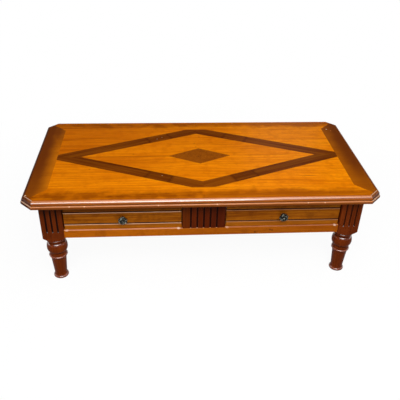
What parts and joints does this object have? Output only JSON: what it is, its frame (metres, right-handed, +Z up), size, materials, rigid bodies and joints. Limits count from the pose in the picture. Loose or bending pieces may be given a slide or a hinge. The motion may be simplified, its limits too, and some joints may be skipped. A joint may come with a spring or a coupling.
{
  "type": "coffee table with drawers",
  "caption": "Low rectangular table with an inlaid moulded top, fluted and turned legs, and drawers with rosette knobs that slide out at the front.",
  "frame": {"origin": "on the floor under the middle of the top", "axes": "+X along the table, +Y from the drawers to the back, +Z up"},
  "size_m": [1.308, 0.658, 0.39],
  "materials": {
    "legs": "dark red-brown stain under gloss varnish",
    "edge": "red-brown stain under gloss varnish",
    "field": "amber cherry veneer under gloss varnish",
    "end_bands": "dark cross-grained veneer under gloss varnish",
    "diamond": "dark veneer under gloss varnish",
    "burl": "burl veneer under gloss varnish",
    "rails": "cherry under gloss varnish",
    "drawer_fronts": "cherry under gloss varnish",
    "bare_wood": "bare planed wood",
    "core_board": "bare board",
    "knob_metal": "dark patinated casting",
    "screw_steel": "plain steel"
  },
  "bodies": {
    "table": {"leg_front_left": "legs", "leg_front_right": "legs", "leg_back_left": "legs", "leg_back_right": "legs", "centre_stile": "legs", "edge_front": "edge", "edge_back": "edge", "edge_left": "edge", "edge_right": "edge", "edge_corner_front_left": "edge", "edge_corner_front_right": "edge", "edge_corner_back_left": "edge", "edge_corner_back_right": "edge", "corner_field_front_left": "field", "corner_field_front_right": "field", "corner_field_back_left": "field", "corner_field_back_right": "field", "inner_field_front_left": "field", "inner_field_front_right": "field", "inner_field_back_left": "field", "inner_field_back_right": "field", "long_band_front": "field", "long_band_back": "field", "end_band_left": "end_bands", "end_band_right": "end_bands", "diamond_band_front_left": "diamond", "diamond_band_front_right": "diamond", "diamond_band_back_left": "diamond", "diamond_band_back_right": "diamond", "centre_lozenge": "burl", "front_bottom_rail": "rails", "front_top_rail": "rails", "back_apron": "rails", "side_apron_left": "rails", "side_apron_right": "rails", "runner_left_inner": "bare_wood", "runner_left_outer": "bare_wood", "runner_right_inner": "bare_wood", "runner_right_outer": "bare_wood", "kicker_left": "bare_wood", "kicker_right": "bare_wood", "drawer_stops": "bare_wood", "top_buttons": "bare_wood", "top_core": "core_board", "top_screws": "screw_steel"},
    "left_drawer": {"left_drawer_front": "drawer_fronts", "left_drawer_side_inner": "bare_wood", "left_drawer_side_outer": "bare_wood", "left_drawer_back": "bare_wood", "left_drawer_bottom": "bare_wood", "left_drawer_knob": "knob_metal", "left_drawer_knob_screw": "screw_steel"},
    "right_drawer": {"right_drawer_front": "drawer_fronts", "right_drawer_side_inner": "bare_wood", "right_drawer_side_outer": "bare_wood", "right_drawer_back": "bare_wood", "right_drawer_bottom": "bare_wood", "right_drawer_knob": "knob_metal", "right_drawer_knob_screw": "screw_steel"}
  },
  "joints": [
    {"name": "left_drawer_slide", "type": "slide", "parent": "table", "child": "left_drawer", "axis": [0, -1, 0], "range_m": [0, 0.36]},
    {"name": "right_drawer_slide", "type": "slide", "parent": "table", "child": "right_drawer", "axis": [0, -1, 0], "range_m": [0, 0.36]}
  ]
}
